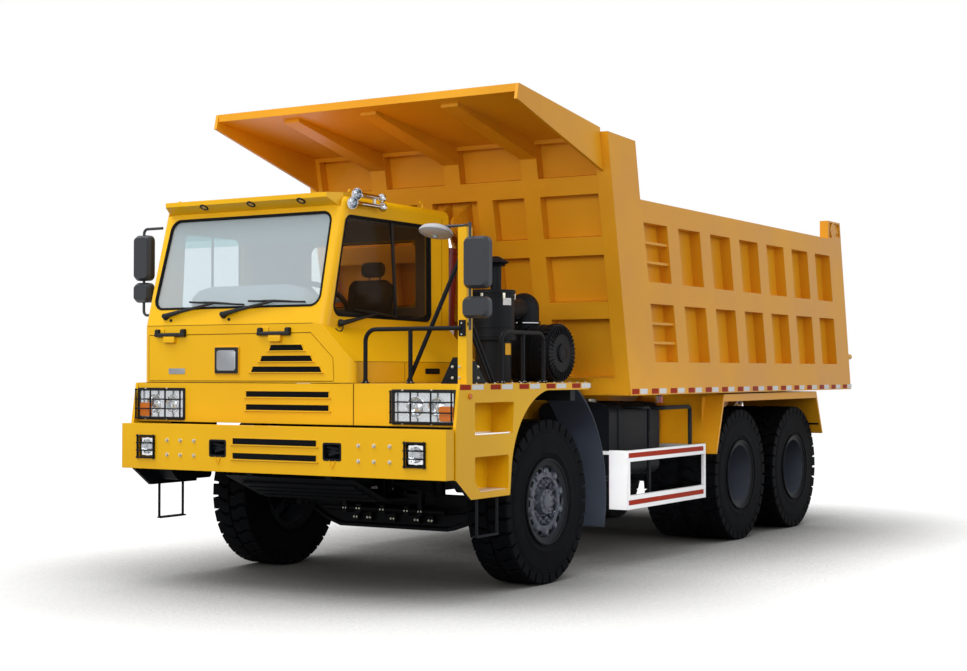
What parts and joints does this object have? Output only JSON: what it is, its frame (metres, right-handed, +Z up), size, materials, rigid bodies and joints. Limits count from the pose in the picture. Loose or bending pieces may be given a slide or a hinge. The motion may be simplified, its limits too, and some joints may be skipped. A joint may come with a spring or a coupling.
{
  "type": "mining dump truck",
  "caption": "Three-axle rigid mine-haul truck with an offset cab, walkway platform, twin rear wheels, front telescopic hoist and a tipping load body with top-hung tailgate.",
  "frame": {"origin": "centre of the bounding box in plan, on the ground", "axes": "the truck faces -Y, +Y is its rear, +X its left side, +Z up"},
  "size_m": [3.67, 9.095, 4.035],
  "materials": {
    "body_paint": "semi-gloss golden-yellow machine paint",
    "chassis_black": "satin black chassis paint",
    "guard_white": "gloss white paint",
    "hoist_red": "semi-gloss dark red paint",
    "polished_steel": "ground and chromed cylinder steel",
    "horn_chrome": "polished",
    "tyre": "matt black rubber",
    "rim_black": "satin black paint",
    "window": "green-tinted safety glass",
    "lamp": "clear ribbed lamp lens",
    "trim_black": "grained black plastic",
    "seat_cloth": "dark woven cloth"
  },
  "bodies": {
    "chassis": {"frame_rails": "chassis_black", "engine_block": "chassis_black", "drive_line": "chassis_black", "front_axle": "chassis_black", "springs": "chassis_black", "rear_axles": "chassis_black", "cab_shell": "body_paint", "cab_glass": "window", "dashboard": "trim_black", "seats": "seat_cloth", "bumper": "body_paint", "tow_pins": "chassis_black", "fascia": "body_paint", "headlamps": "lamp", "lamp_guards": "chassis_black", "skid_plate": "chassis_black", "platform_left": "body_paint", "platform_right": "body_paint", "handrails": "chassis_black", "mirrors": "trim_black", "air_horns": "horn_chrome", "air_cleaner": "chassis_black", "fuel_tank": "chassis_black", "oil_tank": "chassis_black", "side_guards": "guard_white", "front_mudguards": "chassis_black", "rear_fenders": "body_paint"},
    "knuckle_left_body": {"knuckle_left": "chassis_black"},
    "knuckle_right_body": {"knuckle_right": "chassis_black"},
    "front_wheel_left": {"front_left_rim": "rim_black", "front_left_tyre": "tyre"},
    "front_wheel_right": {"front_right_rim": "rim_black", "front_right_tyre": "tyre"},
    "rear_wheels_left_1": {"rear_left_1_rims": "rim_black", "rear_left_1_tyres": "tyre"},
    "rear_wheels_right_1": {"rear_right_1_rims": "rim_black", "rear_right_1_tyres": "tyre"},
    "rear_wheels_left_2": {"rear_left_2_rims": "rim_black", "rear_left_2_tyres": "tyre"},
    "rear_wheels_right_2": {"rear_right_2_rims": "rim_black", "rear_right_2_tyres": "tyre"},
    "dump_body": {"body_floor": "body_paint", "body_side_left": "body_paint", "body_side_right": "body_paint", "body_front_wall": "body_paint", "body_canopy": "body_paint"},
    "tail_gate": {"tailgate": "body_paint"},
    "hoist_outer": {"hoist_tube": "hoist_red"},
    "hoist_1": {"hoist_stage_1": "polished_steel"},
    "hoist_2": {"hoist_stage_2": "polished_steel"},
    "hoist_3": {"hoist_stage_3": "polished_steel"},
    "hoist_4": {"hoist_stage_4": "polished_steel"},
    "door_right": {"cab_door": "body_paint", "door_glass": "window"},
    "service_hatch": {"front_hatch": "body_paint"}
  },
  "joints": [
    {"name": "body_tip", "type": "hinge", "parent": "chassis", "child": "dump_body", "pos_m": [0, 3.7245, 1.38], "axis": [-1, 0, 0], "range_deg": [0, 45]},
    {"name": "tailgate_swing", "type": "hinge", "parent": "dump_body", "child": "tail_gate", "pos_m": [0, 4.0345, 3.4], "axis": [1, 0, 0], "range_deg": [0, 60]},
    {"name": "hoist_tilt", "type": "hinge", "parent": "chassis", "child": "hoist_outer", "pos_m": [0, -2.1955, 1.13], "axis": [-1, 0, 0], "range_deg": [0, 25]},
    {"name": "hoist_slide_1", "type": "slide", "parent": "hoist_outer", "child": "hoist_1", "axis": [0, 0.0882, 0.9961], "range_m": [0, 1.1]},
    {"name": "hoist_slide_2", "type": "slide", "parent": "hoist_1", "child": "hoist_2", "axis": [0, 0.0882, 0.9961], "range_m": [0, 1.1]},
    {"name": "hoist_slide_3", "type": "slide", "parent": "hoist_2", "child": "hoist_3", "axis": [0, 0.0882, 0.9961], "range_m": [0, 1.1]},
    {"name": "hoist_slide_4", "type": "slide", "parent": "hoist_3", "child": "hoist_4", "axis": [0, 0.0882, 0.9961], "range_m": [0, 1.1]},
    {"name": "steer_left", "type": "hinge", "parent": "chassis", "child": "knuckle_left_body", "pos_m": [1.055, -2.8255, 0.675], "axis": [0, 0, 1], "range_deg": [-30, 30]},
    {"name": "steer_right", "type": "hinge", "parent": "chassis", "child": "knuckle_right_body", "pos_m": [-1.055, -2.8255, 0.675], "axis": [0, 0, 1], "range_deg": [-30, 30]},
    {"name": "front_left_spin", "type": "hinge", "parent": "knuckle_left_body", "child": "front_wheel_left", "pos_m": [1.32, -2.8255, 0.675], "axis": [1, 0, 0], "continuous": true},
    {"name": "front_right_spin", "type": "hinge", "parent": "knuckle_right_body", "child": "front_wheel_right", "pos_m": [-1.32, -2.8255, 0.675], "axis": [1, 0, 0], "continuous": true},
    {"name": "rear_left_1_spin", "type": "hinge", "parent": "chassis", "child": "rear_wheels_left_1", "pos_m": [1.105, 1.3045, 0.675], "axis": [1, 0, 0], "continuous": true},
    {"name": "rear_right_1_spin", "type": "hinge", "parent": "chassis", "child": "rear_wheels_right_1", "pos_m": [-1.105, 1.3045, 0.675], "axis": [1, 0, 0], "continuous": true},
    {"name": "rear_left_2_spin", "type": "hinge", "parent": "chassis", "child": "rear_wheels_left_2", "pos_m": [1.105, 2.8745, 0.675], "axis": [1, 0, 0], "continuous": true},
    {"name": "rear_right_2_spin", "type": "hinge", "parent": "chassis", "child": "rear_wheels_right_2", "pos_m": [-1.105, 2.8745, 0.675], "axis": [1, 0, 0], "continuous": true},
    {"name": "cab_door_swing", "type": "hinge", "parent": "chassis", "child": "door_right", "pos_m": [-1.545, -4.0115, 2.365], "axis": [0, 0, 1], "range_deg": [0, 75]},
    {"name": "front_hatch_swing", "type": "hinge", "parent": "chassis", "child": "service_hatch", "pos_m": [-0.6, -4.3755, 2.046], "axis": [-1, 0, 0], "range_deg": [0, 75]}
  ],
  "couplings": [
    {"joint": "hoist_tilt", "follows": "body_tip", "ratio": 0.5299},
    {"joint": "hoist_slide_1", "follows": "body_tip", "m_per_rad": 1.3851},
    {"joint": "hoist_slide_2", "follows": "body_tip", "m_per_rad": 1.3851},
    {"joint": "hoist_slide_3", "follows": "body_tip", "m_per_rad": 1.3851},
    {"joint": "hoist_slide_4", "follows": "body_tip", "m_per_rad": 1.3851},
    {"joint": "steer_right", "follows": "steer_left", "ratio": 1}
  ]
}
